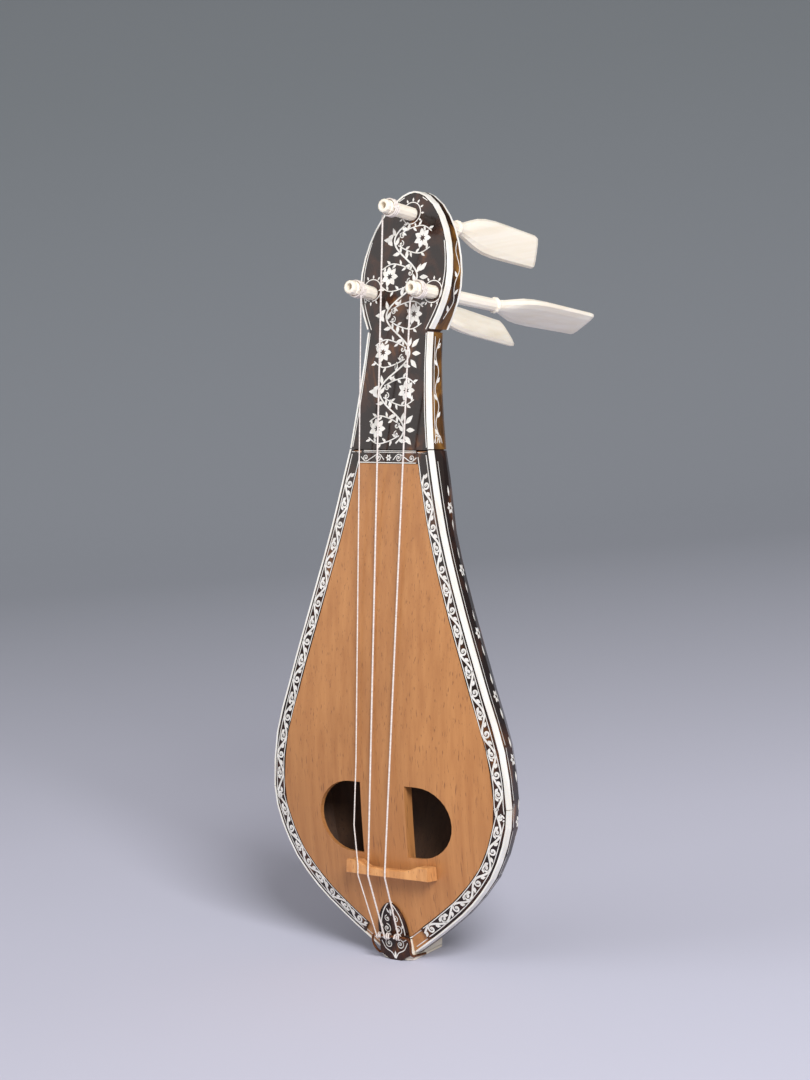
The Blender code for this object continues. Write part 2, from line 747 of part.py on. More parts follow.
# Bridge
def bridge():
    """A low bar with two thicker feet and an arched underside: an outline drawn out in depth."""
    lower = -BRIDGE_LOWER_EDGE
    feet = lower + BRIDGE_FOOT_WIDTH
    waist = lower + BRIDGE_WAIST_WIDTH
    inner = BRIDGE_HALF_LENGTH - BRIDGE_FOOT_LENGTH
    shape = [(BRIDGE_HALF_LENGTH, lower, feet), (BRIDGE_HALF_LENGTH - 0.0012, lower, feet + 0.0002),
             (inner + 0.0018, lower, feet), (inner - 0.0024, lower, mixed(waist, feet, 0.35)),
             (inner - 0.006, lower, waist), (0.0045, lower, waist - 0.0003)]
    stations = [(-x, a, b) for x, a, b in shape] + [(x, a, b) for x, a, b in reversed(shape)]
    rings = []
    for x, low, high in stations:
        place = x + BRIDGE_OFFSET
        near_foot = smoothed((abs(x) - (inner - 0.004)) / 0.004)
        lift = GAP + BRIDGE_ARCH * (1 - near_foot)
        front = BRIDGE_FRONT + 0.0006 * near_foot
        rings.append([Vector((place, front, low + 0.0003)), Vector((place, front, high - 0.0006)),
                      Vector((place, front + 0.0008, high)), Vector((place, face(place, high) - lift, high)),
                      Vector((place, face(place, low) - lift, low)), Vector((place, front + 0.0005, low))])
    return loft(rings)


# Pegs
def peg_profile(length, ring_place):
    """(distance from the tip, half width, half thickness) stations of a peg, front to back."""
    r = PEG_RADIUS
    neck = ring_place + RING_LENGTH
    stations = [(0.0, r - 0.0009), (0.0004, r - 0.0002), (0.0012, r), (0.0026, r), (0.0030, r - 0.0005),
                (0.0036, r - 0.0005), (0.0040, r), (0.5 * ring_place, r), (ring_place, r - 0.0002),
                (ring_place + 0.0004, RING_RADIUS - 0.0003), (ring_place + RING_LENGTH / 2, RING_RADIUS),
                (neck - 0.0004, RING_RADIUS - 0.0003), (neck, r - 0.0004)]
    profile = [(place, radius, radius) for place, radius in stations]
    thin = PADDLE_THICKNESS / 2
    thick = PADDLE_ROOT_THICKNESS / 2
    blade = length - neck
    shape = ((0.06, 0.10, 0.0), (0.14, 0.42, 0.0), (0.22, 0.72, 0.15), (0.32, 0.92, 0.4),
             (0.45, 1.0, 0.7), (0.62, 1.0, 0.9), (0.80, 0.97, 1.0), (0.97, 0.95, 1.0))
    for share, spread, flatten in shape:
        wide = mixed(r, PADDLE_HALF_WIDTH, spread)
        if share > 0.5:
            wide = mixed(PADDLE_HALF_WIDTH, PADDLE_END_HALF_WIDTH, (share - 0.5) / 0.5)
        profile.append((neck + blade * share, wide, mixed(thick, thin, flatten)))
    profile.append((length, PADDLE_END_HALF_WIDTH - 0.0006, thin - 0.0006))
    return profile, neck


def peg(length, ring_place):
    """A peg along +Y from its bored tip: turned shaft and ring, then a flat paddle."""
    sides = PEG_SIDES
    bore = [(PEG_BORE_DEPTH, PEG_BORE_RADIUS * 0.8), (0.0002, PEG_BORE_RADIUS),
            (0.0, PEG_BORE_RADIUS + 0.0002)]
    profile, neck = peg_profile(length, ring_place)
    stations = [(place, r, r) for place, r in bore] + profile
    rings = []
    for index, (place, wide, thick) in enumerate(stations):
        flat = 0.0 if index < 3 else smoothed((place - neck) / (0.25 * (length - neck)))
        power = mixed(1.0, 0.55, flat)
        ring = []
        for i in range(sides):
            angle = 2 * math.pi * i / sides
            c, s = math.cos(angle), math.sin(angle)
            x = thick * math.copysign(abs(c) ** power, c)
            z = wide * math.copysign(abs(s) ** mixed(1.0, 0.8, flat), s)
            ring.append(Vector((x, place, z)))
        rings.append(ring)
    return loft(rings)


def winding_points(radius, string_radius, loops, start):
    """A helix round a peg that lies along +Y, with a short straight lead at each end."""
    reach = radius + GAP + string_radius
    pitch = 2 * string_radius + WINDING_GAP
    points = []
    for i in range(loops * LOOP_POINTS + 1):
        turn = i / LOOP_POINTS
        angle = 2 * math.pi * turn
        points.append(Vector((reach * math.cos(angle), start + pitch * turn, reach * math.sin(angle))))
    return with_leads(points, 2 * string_radius)


def with_leads(points, lead):
    """The same points with a straight run of the given length beyond each end."""
    first = points[0] + (points[0] - points[1]).normalized() * lead
    last = points[-1] + (points[-1] - points[-2]).normalized() * lead
    return [first] + points + [last]


def least_gap(points, radius, apart):
    """Least gap between stretches of one tube whose points are at least so many steps apart."""
    least = math.inf
    for i, p in enumerate(points):
        for q in points[i + apart:]:
            least = min(least, (p - q).length)
    return least - 2 * radius


def string_route(peg_row):
    """From the winding past the bridge to the tail wire, ending in loops round the wire."""
    (name, offset, height, tip, tilt, length, ring_place, turn, radius, loops, place, side,
     bridge_x, tail_x) = peg_row
    along_peg = place + 0.5 * (2 * radius + WINDING_GAP)
    outer = PEG_RADIUS + GAP + 2 * radius
    drop = math.sqrt((outer + GAP + 0.0001) ** 2 - (PEG_RADIUS + GAP - radius) ** 2)
    start = Vector((offset + side * (PEG_RADIUS + GAP), tip + along_peg * math.cos(tilt),
                    height - along_peg * math.sin(tilt) - drop))
    rest = BRIDGE_FRONT - GAP - radius
    low = -BRIDGE_LOWER_EDGE
    high = low + BRIDGE_WAIST_WIDTH
    over = [Vector((bridge_x, rest, high)), Vector((bridge_x, rest, low - 0.0002))]
    middle = []
    if name == "left":
        middle = [Vector((-0.0145, rest, -0.163)), Vector((-0.0152, rest, -0.198))]
    bar = Vector((tail_x, FACET_TOP_DEPTH - WIRE_STANDOFF, -FACET_TOP))
    reach = WIRE_RADIUS + GAP + radius
    pitch = math.copysign(2 * radius + WINDING_GAP, tail_x - bridge_x)
    loop = []
    for i in range(TAIL_LOOPS * LOOP_POINTS + 1):
        turn_share = i / LOOP_POINTS
        angle = math.pi + 2 * math.pi * turn_share
        loop.append(bar + Vector((pitch * (turn_share - TAIL_LOOPS / 2), reach * math.cos(angle),
                                  reach * math.sin(angle))))
    lead = loop[0] + (loop[0] - loop[1]).normalized() * 2 * radius
    last = loop[-1] + (loop[-1] - loop[-2]).normalized() * 2 * radius
    return [start] + middle + over + [lead] + loop + [last], loop


def instrument_matrix():
    """The lean on the foot, with the middle of the foot's flat face at the origin."""
    turn = Matrix.Rotation(-LEAN, 4, "X")
    middle = (foot_front() + BLOCK_BACK) / 2
    return Matrix.Translation(-(turn @ Vector((0, middle, floor_height(middle))))) @ turn


def clear_scene():
    for obj in list(bpy.data.objects):
        bpy.data.objects.remove(obj, do_unlink=True)


def main():
    clear_scene()
    scene = bpy.context.scene
    parts = bpy.data.collections.new("kemence")
    cutters = bpy.data.collections.new("cutters")
    scene.collection.children.link(parts)
    scene.collection.children.link(cutters)

    carved_wood = new_material("carved_wood", (0.36, 0.19, 0.09), 0.6)
    board_wood = new_material("soundboard_wood", (0.40, 0.19, 0.07), 0.5)
    shell = new_material("tortoiseshell", (0.03, 0.013, 0.008), 0.2)
    amber_shell = new_material("amber_tortoiseshell", (0.13, 0.05, 0.012), 0.2)
    ivory = new_material("ivory", (0.86, 0.80, 0.69), 0.35)
    white_edge = new_material("white_edging", (0.90, 0.88, 0.84), 0.3)
    bridge_wood = new_material("bridge_wood", (0.56, 0.26, 0.10), 0.55)
    copper = new_material("copper_wire", (0.30, 0.13, 0.06), 0.4, 1.0)
    gut = new_material("gut", (0.62, 0.56, 0.50), 0.4)

    lean = bpy.data.objects.new("instrument_lean", None)
    lean.matrix_world = instrument_matrix()
    parts.objects.link(lean)

    def add(name, bm, material, sharp=35):
        obj = finish(name, mesh_from(name, bm), material, parts, sharp)
        obj.parent = lean
        return obj

    def cutter(name, bm):
        obj = make_cutter(name, bm, cutters)
        obj.parent = lean
        return obj

    # Cutters
    hollow = cutter("cut_bowl_hollow", cavity())
    slot_half = TAIL_HALF_WIDTH + GAP
    tail_slot = cutter("cut_tail_slot", box((-slot_half, -0.02, -0.30),
                                            (slot_half, 0.08, -FACET_TOP - 2 * GAP)))
    board_end = cutter("cut_board_end", box((-slot_half, -0.02, -0.30),
                                            (slot_half, 0.08, -FACET_TOP + GAP)))
    left_hole = cutter("cut_soundhole_left", prism(soundhole_outline(-1), "Y", -0.03, 0.03))
    right_hole = cutter("cut_soundhole_right", prism(soundhole_outline(1), "Y", -0.03, 0.03))
    vent_bm = bmesh.new()
    bmesh.ops.create_cone(vent_bm, cap_ends=True, segments=16, radius1=BACK_VENT_RADIUS,
                          radius2=BACK_VENT_RADIUS, depth=0.02,
                          matrix=Matrix.Translation((0, face_edge(-BACK_VENT_HEIGHT)
                                                     + depth(-BACK_VENT_HEIGHT), -BACK_VENT_HEIGHT))
                          @ Matrix.Rotation(math.radians(90), 4, "X"))
    vent = cutter("cut_back_vent", vent_bm)
    peg_holes = []
    for row in PEGS:
        name, offset, height, tip, tilt = row[:5]
        bm = bmesh.new()
        bmesh.ops.create_cone(bm, cap_ends=True, segments=24, radius1=PEG_RADIUS + GAP,
                              radius2=PEG_RADIUS + GAP, depth=0.12)
        hole = cutter("cut_peg_hole_" + name, bm)
        hole.location = (offset, tip, height)
        hole.rotation_euler = (math.radians(90) - tilt, 0, 0)
        peg_holes.append(hole)

    # Carved body and what it holds
    body = add("carved_body", carved_body(), carved_wood)
    cut(body, hollow, "bowl_hollow")
    cut(body, tail_slot, "tail_slot")
    cut(body, vent, "back_vent")
    for hole in peg_holes:
        cut(body, hole, hole.name)

    board = add("soundboard", soundboard_base(), board_wood)
    field = cutter("join_soundboard_field", soundboard_field())
    union = board.modifiers.new("raised_field", "BOOLEAN")
    union.operation = "UNION"
    union.object = field
    cut(board, board_end, "tail_end")
    cut(board, left_hole, "left_hole")
    cut(board, right_hole, "right_hole")

    brace_rows = [(z, -BRACE_HALF_WIDTH, BRACE_HALF_WIDTH)
                  for z in [mixed(-BRACE_BOTTOM, -BRACE_TOP, i / 6) for i in range(7)]]
    under = BOARD_THICKNESS + GAP
    add("soundboard_brace", face_panel(brace_rows, under, under + BRACE_DEPTH, 4), board_wood)

    post_z = -(BRIDGE_LOWER_EDGE - BRIDGE_FOOT_WIDTH / 2)
    circle = [(POST_OFFSET + POST_RADIUS * math.cos(math.pi * i / 7),
               post_z + POST_RADIUS * math.sin(math.pi * i / 7)) for i in range(14)]
    post_front = [Vector((x, face(x, z) + under + BRACE_DEPTH + GAP, z)) for x, z in circle]
    post_back = [Vector((x, face_edge(z) + cavity_back(x, z) - POST_CLEARANCE, z)) for x, z in circle]
    add("soundpost", loft([post_front, post_back]), carved_wood)

    # Border round the soundboard
    add("border_left", border_side(-1), shell)
    add("border_right", border_side(1), shell)
    add("border_top", border_top(), shell)

    # Neck and head
    plate = add("neck_head_faceplate", faceplate(), shell)
    back_plate = add("head_back_veneer", head_back(), amber_shell)
    for hole in peg_holes:
        cut(plate, hole, hole.name)
        cut(back_plate, hole, hole.name)
    add("neck_veneer", neck_veneer(), amber_shell)

    widest = -BODY_WIDEST
    end_z = -BODY_LENGTH + 0.0012

    def front_edge(z):
        return 0.0

    def edge_bottom(z):
        return EDGE_DEPTH

    def rear_top(z):
        return depth(z) - REAR_EDGE_DEPTH

    def head_side_bottom(z):
        return depth(z) - REAR_EDGE_DEPTH - GAP

    def head_side_top(z):
        return EDGE_DEPTH + GAP

    for side, label in ((-1, "left"), (1, "right")):
        head = (head_stations(), side)
        add("head_edge_" + label, edge_strip(*head, front_edge, edge_bottom), white_edge)
        add("head_side_" + label, edge_strip(*head, head_side_top, head_side_bottom), amber_shell)
        add("head_rear_edge_" + label, edge_strip(*head, rear_top, depth), white_edge)
        neck = (heights(GAP, NOTCH - GAP, NECK_ROWS), side)
        add("neck_edge_" + label, edge_strip(*neck, front_edge, edge_bottom), white_edge)
        upper = (heights(widest + GAP / 2, -GAP, 14), side)
        add("body_edge_upper_" + label, edge_strip(*upper, front_edge, edge_bottom), white_edge)
        lower = (heights(end_z, widest - GAP / 2, 12), side)
        add("body_edge_lower_" + label, edge_strip(*lower, front_edge, edge_bottom), white_edge)
        skin = add("bowl_veneer_" + label, bowl_veneer(side), shell)
        cut(skin, tail_slot, "tail_slot")
    strip = add("back_channel_strip", channel_strip(), shell)
    cut(strip, vent, "back_vent")

    # Tail
    add("tail_plaque", plaque(), shell)
    add("tail_facet", facet(), shell)
    add("tail_block", tail_block(), ivory, 20)
    add("foot_plate", foot_plate(), ivory, 20)
    wire = curve_tube("tail_wire", wire_route(), WIRE_RADIUS, copper, parts, 2)
    wire.parent = lean
    add("bridge", bridge(), bridge_wood)

    # Pegs with their windings, and the strings
    for row in PEGS:
        name, offset, height, tip, tilt, length, ring_place, turn = row[:8]
        radius, loops, place = row[8:11]
        shaft = add("peg_" + name, peg(length, ring_place), ivory, 40)
        shaft.location = (offset, tip, height)
        shaft.rotation_euler = (-tilt, 0, 0)
        shaft.data.transform(Matrix.Rotation(turn, 4, "Y"))
        points = winding_points(PEG_RADIUS, radius, loops, place)
        print("least gap in the winding of peg", name, round(least_gap(points, radius, 12) * 1000, 3))
        coil = curve_tube("string_winding_" + name, points, radius, gut, parts, 1)
        coil.parent = shaft
        route, loop = string_route(row)
        print("least gap in the tail loops of string", name, round(least_gap(loop, radius, 8) * 1000, 3))
        line = curve_tube("string_" + name, route, radius, gut, parts, 1)
        line.parent = lean


main()
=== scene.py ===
"""A classical kemence in its finishes: wood, tortoiseshell with white inlay, ivory, gut and copper.

Lengths are in metres. The inlay is drawn in the instrument's own axes and laid on its faces."""

import math

import bmesh
import bpy
from mathutils import Matrix, Vector
from mathutils.bvhtree import BVHTree


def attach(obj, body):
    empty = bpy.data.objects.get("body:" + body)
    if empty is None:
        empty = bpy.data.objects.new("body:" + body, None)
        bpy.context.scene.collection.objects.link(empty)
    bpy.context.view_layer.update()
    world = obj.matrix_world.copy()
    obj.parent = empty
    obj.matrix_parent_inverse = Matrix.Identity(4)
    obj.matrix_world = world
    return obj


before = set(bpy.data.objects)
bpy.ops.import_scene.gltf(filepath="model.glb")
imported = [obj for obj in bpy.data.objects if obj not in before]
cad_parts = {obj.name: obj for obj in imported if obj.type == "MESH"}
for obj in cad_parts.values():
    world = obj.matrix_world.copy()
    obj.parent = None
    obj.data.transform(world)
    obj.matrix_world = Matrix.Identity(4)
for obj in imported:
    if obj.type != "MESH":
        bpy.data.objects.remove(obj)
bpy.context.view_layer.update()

# The instrument's own axes: it leans back on its foot. Heights run from the neck joint upwards
LEAN = math.radians(9.5)
JOINT_PLACE = Vector((0, 0.01756, 0.26813))
INSTRUMENT = Matrix.Translation(JOINT_PLACE) @ Matrix.Rotation(-LEAN, 4, "X")
FRONT = INSTRUMENT.to_3x3() @ Vector((0, -1, 0))

# Outline of the face: (height, half width)
OUTLINE = ((-0.2660, 0.0098), (-0.2600, 0.0188), (-0.2500, 0.0332), (-0.2350, 0.0515), (-0.2150, 0.0675),
           (-0.1900, 0.0770), (-0.1830, 0.0771), (-0.1600, 0.0752), (-0.1200, 0.0626), (-0.0800, 0.0486),
           (-0.0400, 0.0357), (-0.0006, 0.0262))
HEAD_OUTLINE = ((0.0615, 0.0200), (0.0750, 0.0260), (0.0890, 0.0286), (0.1000, 0.0280), (0.1120, 0.0252),
                (0.1220, 0.0205), (0.1300, 0.0140), (0.1345, 0.0070))
EDGE = 0.0012
BORDER_WIDTH = 0.0068
FACE_RADIUS = 1.033
FACE_SUMMIT = 0.075
PEG_HOLES = ((-0.020, 0.0835), (0.0, 0.1240), (0.020, 0.0822))

# Inlay: how far it stands out, how thick it is, and the steps in which its curves are drawn
INLAY_LIFT = 0.00005
INLAY_THICKNESS = 0.0001
LINE_STEP = 0.002
STEM_STEP = 0.0006
FINE_STEP = 0.0005
LINE_WIDTH = 0.00045

# Scrolls of the border
OUTER_LINE_INSET = 0.0012
INNER_LINE_INSET = 0.0004
SCROLL_SHIFT = 0.0004
SCROLL_PERIOD = 0.022
SCROLL_WIDTH = 0.0011
SCROLL_START = 30
SCROLL_SPARE = 40
VOLUTE_RADIUS = 0.0021
VOLUTE_WIDTH = 0.0009
BORDER_TOP_LINE = 0.0245
BORDER_TOP_MIDDLE = -0.0046

# Vine of neck and head
VINE_BEND = 0.020
VINE_SWAY = 0.0088
VINE_START = 0.003
VINE_LENGTH = 0.119
VINE_POINTS = 48
VINE_BENDS = 6
NECK_BENDS = 3
NECK_REACH = 0.0150
HEAD_REACH = 0.0160
HEAD_LINE_INSET = 0.0024
PEG_RING_RADIUS = 0.0058
PEG_RING_LEAVES = 12

# Vine and stars of the sides, by their depth below the face's edge
SIDE_VINE_DEPTH = 0.0085
SIDE_VINE_SWAY = 0.0014
SIDE_VINE_PERIOD = 0.018
SIDE_LEAF_SPACING = 0.009
STAR_DEPTH = 0.0125
STAR_HEIGHTS = (-0.030, -0.062, -0.094, -0.126, -0.158, -0.190, -0.218)

# The photograph's camera, in the instrument's axes
CAMERA_TARGET = Vector((0.011242, 0, -0.047183))
CAMERA_AZIMUTH = math.radians(37.127)
CAMERA_ELEVATION = math.radians(1.89)
CAMERA_ROLL = math.radians(0.836)
CAMERA_DISTANCE = 1.51046
CAMERA_LENS = 96.74

# Backdrop: a floor that curves up into a wall
FLOOR_FRONT = -2.5
FLOOR_BACK = 1.2
CURVE_RADIUS = 0.8
CURVE_STEPS = 12
WALL_TOP = 3.5
SHEET_HALF_WIDTH = 4
FLOOR_DROP = 0.0002
LAMP_AIM = Vector((0, 0, 0.2))


def new_material(name):
    material = bpy.data.materials.new(name)
    material.use_nodes = True
    return material, material.node_tree.nodes, material.node_tree.links


def object_coordinates(nodes, links, scale, turn=(0, 0, 0)):
    coordinates = nodes.new("ShaderNodeTexCoord")
    mapping = nodes.new("ShaderNodeMapping")
    mapping.inputs["Scale"].default_value = scale
    mapping.inputs["Rotation"].default_value = turn
    links.new(coordinates.outputs["Object"], mapping.inputs["Vector"])
    return mapping


def noise(nodes, links, mapping, scale, detail, roughness=0.5):
    texture = nodes.new("ShaderNodeTexNoise")
    texture.inputs["Scale"].default_value = scale
    texture.inputs["Detail"].default_value = detail
    texture.inputs["Roughness"].default_value = roughness
    links.new(mapping.outputs["Vector"], texture.inputs["Vector"])
    return texture


def ramp(nodes, links, source, stops):
    shades = nodes.new("ShaderNodeValToRGB")
    elements = shades.color_ramp.elements
    while len(elements) < len(stops):
        elements.new(0.5)
    for element, (place, colour) in zip(elements, stops):
        element.position = place
        element.color = (*colour, 1)
    links.new(source, shades.inputs["Fac"])
    return shades


def bump(nodes, links, height, strength, distance):
    relief = nodes.new("ShaderNodeBump")
    relief.inputs["Strength"].default_value = strength
    relief.inputs["Distance"].default_value = distance
    links.new(height, relief.inputs["Height"])
    links.new(relief.outputs["Normal"], nodes["Principled BSDF"].inputs["Normal"])


def wood(name, dark, light, pore, roughness):
    """Straight grain along the instrument's axis, with drifting colour and short dark pores."""
    material, nodes, links = new_material(name)
    shader = nodes["Principled BSDF"]
    along = object_coordinates(nodes, links, (220, 220, 9), (LEAN, 0, 0))
    grain = noise(nodes, links, along, 1.0, 6, 0.6)
    broad = noise(nodes, links, object_coordinates(nodes, links, (9, 9, 5), (LEAN, 0, 0)), 1.0, 3)
    colour = ramp(nodes, links, grain.outputs["Fac"], ((0.3, dark), (0.7, light)))
    drift = ramp(nodes, links, broad.outputs["Fac"], ((0.3, (0.78, 0.74, 0.70)), (0.7, (1.12, 1.1, 1.05))))
    mixed = nodes.new("ShaderNodeMix")
    mixed.data_type = "RGBA"
    mixed.blend_type = "MULTIPLY"
    mixed.inputs["Factor"].default_value = 1
    links.new(colour.outputs["Color"], mixed.inputs[6])
    links.new(drift.outputs["Color"], mixed.inputs[7])
    pores = noise(nodes, links, object_coordinates(nodes, links, (1500, 1500, 90), (LEAN, 0, 0)), 1.0, 2)
    spots = ramp(nodes, links, pores.outputs["Fac"], ((0.62, (0, 0, 0)), (0.72, (1, 1, 1))))
    marked = nodes.new("ShaderNodeMix")
    marked.data_type = "RGBA"
    links.new(spots.outputs["Color"], marked.inputs["Factor"])
    links.new(mixed.outputs[2], marked.inputs[6])
    marked.inputs[7].default_value = (*pore, 1)
    links.new(marked.outputs[2], shader.inputs["Base Color"])
    shader.inputs["Roughness"].default_value = roughness
    bump(nodes, links, grain.outputs["Fac"], 0.25, 0.0002)
    return material


def shell(name, dark, warm, amber, low, high):
    """Polished tortoiseshell: cloudy amber patches in a dark ground."""
    material, nodes, links = new_material(name)
    shader = nodes["Principled BSDF"]
    place = object_coordinates(nodes, links, (1, 1, 0.6))
    clouds = noise(nodes, links, place, 75, 4, 0.55)
    clouds.inputs["Distortion"].default_value = 0.8
    shades = ((low, dark), ((low + high) / 2, warm), (high, amber))
    colour = ramp(nodes, links, clouds.outputs["Fac"], shades)
    links.new(colour.outputs["Color"], shader.inputs["Base Color"])
    fine = noise(nodes, links, place, 900, 3)
    dull = ramp(nodes, links, fine.outputs["Fac"], ((0.3, (0.12, 0.12, 0.12)), (0.7, (0.24, 0.24, 0.24))))
    links.new(dull.outputs["Color"], shader.inputs["Roughness"])
    shader.inputs["Specular IOR Level"].default_value = 0.32
    shader.inputs["Coat Weight"].default_value = 0.12
    shader.inputs["Coat Roughness"].default_value = 0.06
    bump(nodes, links, fine.outputs["Fac"], 0.08, 0.0001)
    return material


def ivory(name, pale, warm, stretch, roughness):
    """Ivory with faint grain lines along its length and warmer patches."""
    material, nodes, links = new_material(name)
    shader = nodes["Principled BSDF"]
    grain = noise(nodes, links, object_coordinates(nodes, links, stretch), 1.0, 5, 0.6)
    colour = ramp(nodes, links, grain.outputs["Fac"], ((0.35, warm), (0.6, pale)))
    links.new(colour.outputs["Color"], shader.inputs["Base Color"])
    shader.inputs["Roughness"].default_value = roughness
    shader.inputs["Subsurface Weight"].default_value = 0.08
    shader.inputs["Subsurface Radius"].default_value = (0.004, 0.003, 0.002)
    bump(nodes, links, grain.outputs["Fac"], 0.1, 0.0001)
    return material


def strand(name, pale, dark, metallic, roughness):
    """Gut or wire: fine bands that run round the strand."""
    material, nodes, links = new_material(name)
    shader = nodes["Principled BSDF"]
    bands = noise(nodes, links, object_coordinates(nodes, links, (300, 300, 1400)), 1.0, 3)
    colour = ramp(nodes, links, bands.outputs["Fac"], ((0.35, dark), (0.65, pale)))
    links.new(colour.outputs["Color"], shader.inputs["Base Color"])
    shader.inputs["Metallic"].default_value = metallic
    shader.inputs["Roughness"].default_value = roughness
    bump(nodes, links, bands.outputs["Fac"], 0.3, 0.0001)
    return material


def paper_with_painted_falloff(name, roughness):
    """Backdrop paper with painted shade: pale where it is the floor, darker up and away from it as the
    light falls off.
    """
    material, nodes, links = new_material(name)
    shader = nodes["Principled BSDF"]
    coordinates = nodes.new("ShaderNodeTexCoord")
    split = nodes.new("ShaderNodeSeparateXYZ")
    links.new(coordinates.outputs["UV"], split.inputs["Vector"])
    # Painted shade: the colour steps from a light floor to near black up the wall, standing in for the
    # light's falloff
    falloff_shade = ramp(nodes, links, split.outputs["Y"],
                ((0.36, (0.55, 0.55, 0.66)), (0.50, (0.34, 0.36, 0.41)), (0.60, (0.22, 0.24, 0.26)),
                 (0.76, (0.105, 0.110, 0.115))))
    links.new(falloff_shade.outputs["Color"], shader.inputs["Base Color"])
    shader.inputs["Roughness"].default_value = roughness
    return material


BOARD = wood("soundboard_wood", (0.43, 0.180, 0.060), (0.55, 0.255, 0.092), (0.25, 0.100, 0.036), 0.42)
CARVED = wood("carved_wood", (0.07, 0.03, 0.014), (0.13, 0.06, 0.028), (0.04, 0.018, 0.01), 0.7)
BRIDGE = wood("bridge_wood", (0.52, 0.22, 0.075), (0.74, 0.38, 0.15), (0.28, 0.10, 0.04), 0.45)
DARK_SHELL = shell("dark_shell", (0.012, 0.005, 0.0035), (0.040, 0.013, 0.006), (0.16, 0.055, 0.010),
                   0.44, 0.72)
AMBER_SHELL = shell("amber_shell", (0.018, 0.007, 0.003), (0.13, 0.052, 0.007), (0.30, 0.14, 0.020),
                    0.34, 0.64)
PEG_IVORY = ivory("peg_ivory", (0.92, 0.85, 0.74), (0.87, 0.78, 0.64), (260, 8, 260), 0.32)
EDGE_IVORY = ivory("edge_ivory", (0.90, 0.88, 0.83), (0.80, 0.76, 0.69), (160, 160, 30), 0.3)
COPPER = strand("copper", (0.30, 0.12, 0.05), (0.13, 0.045, 0.02), 1.0, 0.4)
GUT = strand("gut", (0.84, 0.78, 0.74), (0.66, 0.58, 0.54), 0.0, 0.4)
INLAY = ivory("white_inlay", (0.86, 0.83, 0.78), (0.70, 0.67, 0.62), (220, 220, 220), 0.35)
PAPER = paper_with_painted_falloff("backdrop_paper", 0.9)

FINISHES = {
    "soundboard": BOARD, "soundboard_brace": BOARD, "carved_body": CARVED, "soundpost": CARVED,
    "bridge": BRIDGE, "tail_wire": COPPER,
}
DARK_NODES = ("border", "neck_head_faceplate", "bowl_veneer", "back_channel", "tail_plaque", "tail_facet")
AMBER_NODES = ("head_back", "neck_veneer", "head_side")
IVORY_NODES = ("tail_block", "foot_plate", "peg_")


def finish_of(name):
    if name in FINISHES:
        return FINISHES[name]
    if name.startswith(DARK_NODES):
        return DARK_SHELL
    if name.startswith(AMBER_NODES):
        return AMBER_SHELL
    if name.startswith(IVORY_NODES):
        return PEG_IVORY
    if name.startswith("string"):
        return GUT
    return EDGE_IVORY


for node_name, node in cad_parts.items():
    node.data.materials.clear()
    node.data.materials.append(finish_of(node_name))


# Inlay: flat ribbons and leaves laid on the face, drawn in (side offset, height) of the instrument,
# or on a side, drawn in (depth below the face's edge, height)
def surface_tree(starts):
    """The shown surfaces of the nodes whose names start so."""
    points, faces = [], []
    for name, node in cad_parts.items():
        if name.startswith(starts):
            start = len(points)
            points += [node.matrix_world @ v.co for v in node.data.vertices]
            faces += [[start + i for i in polygon.vertices] for polygon in node.data.polygons]
    return BVHTree.FromPolygons(points, faces)


FACE = surface_tree(("border", "neck_head_faceplate", "tail_plaque", "tail_facet", "soundboard"))
SIDE = surface_tree(("neck_veneer", "head_side", "bowl_veneer"))


def side_place(side):
    """Gives the function from (depth below the face's edge, height) to a point of one side."""
    outward = Vector((side, 0, 0))

    def on_side(depth, z):
        y = (z * z + 2 * FACE_SUMMIT * z) / (2 * FACE_RADIUS) + depth
        hit = SIDE.ray_cast(INSTRUMENT @ Vector((side * 0.12, y, z)), -outward, 0.2)
        return hit[0] + outward * INLAY_LIFT if hit[0] else None
    return on_side


def on_face(x, z):
    """The point of the face at a side offset and height, or None off the face."""
    start = INSTRUMENT @ Vector((x, -0.06, z))
    hit = FACE.ray_cast(start, -FRONT, 0.2)
    return hit[0] + FRONT * INLAY_LIFT if hit[0] else None


def between(a, b, c, d, t):
    """The smooth curve's point at a share of the way from b to c."""
    return tuple(0.5 * (2 * q + (r - p) * t + (2 * p - 5 * q + 4 * r - s) * t * t
                        + (3 * q - p - 3 * r + s) * t ** 3) for p, q, r, s in zip(a, b, c, d))


def spread(points, step):
    """Points evenly spaced along a smooth curve through the given (x, z) points."""
    ends = [points[0]] + list(points) + [points[-1]]
    dense = []
    for a, b, c, d in zip(ends, ends[1:], ends[2:], ends[3:]):
        dense += [between(a, b, c, d, i / 20) for i in range(20)]
    dense.append(points[-1])
    found = [dense[0]]
    gone = 0.0
    for a, b in zip(dense, dense[1:]):
        length = math.hypot(b[0] - a[0], b[1] - a[1])
        while gone + length >= step:
            share = (step - gone) / length
            a = (a[0] + (b[0] - a[0]) * share, a[1] + (b[1] - a[1]) * share)
            found.append(a)
            length = math.hypot(b[0] - a[0], b[1] - a[1])
            gone = 0.0
        gone += length
    return found


def normals(path):
    """Unit normals of a path of (x, z) points, to its left."""
    found = []
    for i in range(len(path)):
        a, b = path[max(i - 1, 0)], path[min(i + 1, len(path) - 1)]
        length = math.hypot(b[0] - a[0], b[1] - a[1]) or 1
        found.append((-(b[1] - a[1]) / length, (b[0] - a[0]) / length))
    return found


def offset(path, distance):
    """The path moved to its left by a distance."""
    return [(p[0] + n[0] * distance, p[1] + n[1] * distance) for p, n in zip(path, normals(path))]


def ribbon(bm, path, width, place=on_face):
    """A ribbon of the given width along a path. It breaks where the path leaves the surface."""
    last = None
    sides = normals(path)
    half = width / 2
    for point, side in zip(path, sides):
        left = place(point[0] + side[0] * half, point[1] + side[1] * half)
        right = place(point[0] - side[0] * half, point[1] - side[1] * half)
        if left is None or right is None:
            last = None
            continue
        pair = (bm.verts.new(left), bm.verts.new(right))
        if last:
            bm.faces.new((last[0], last[1], pair[1], pair[0]))
        last = pair


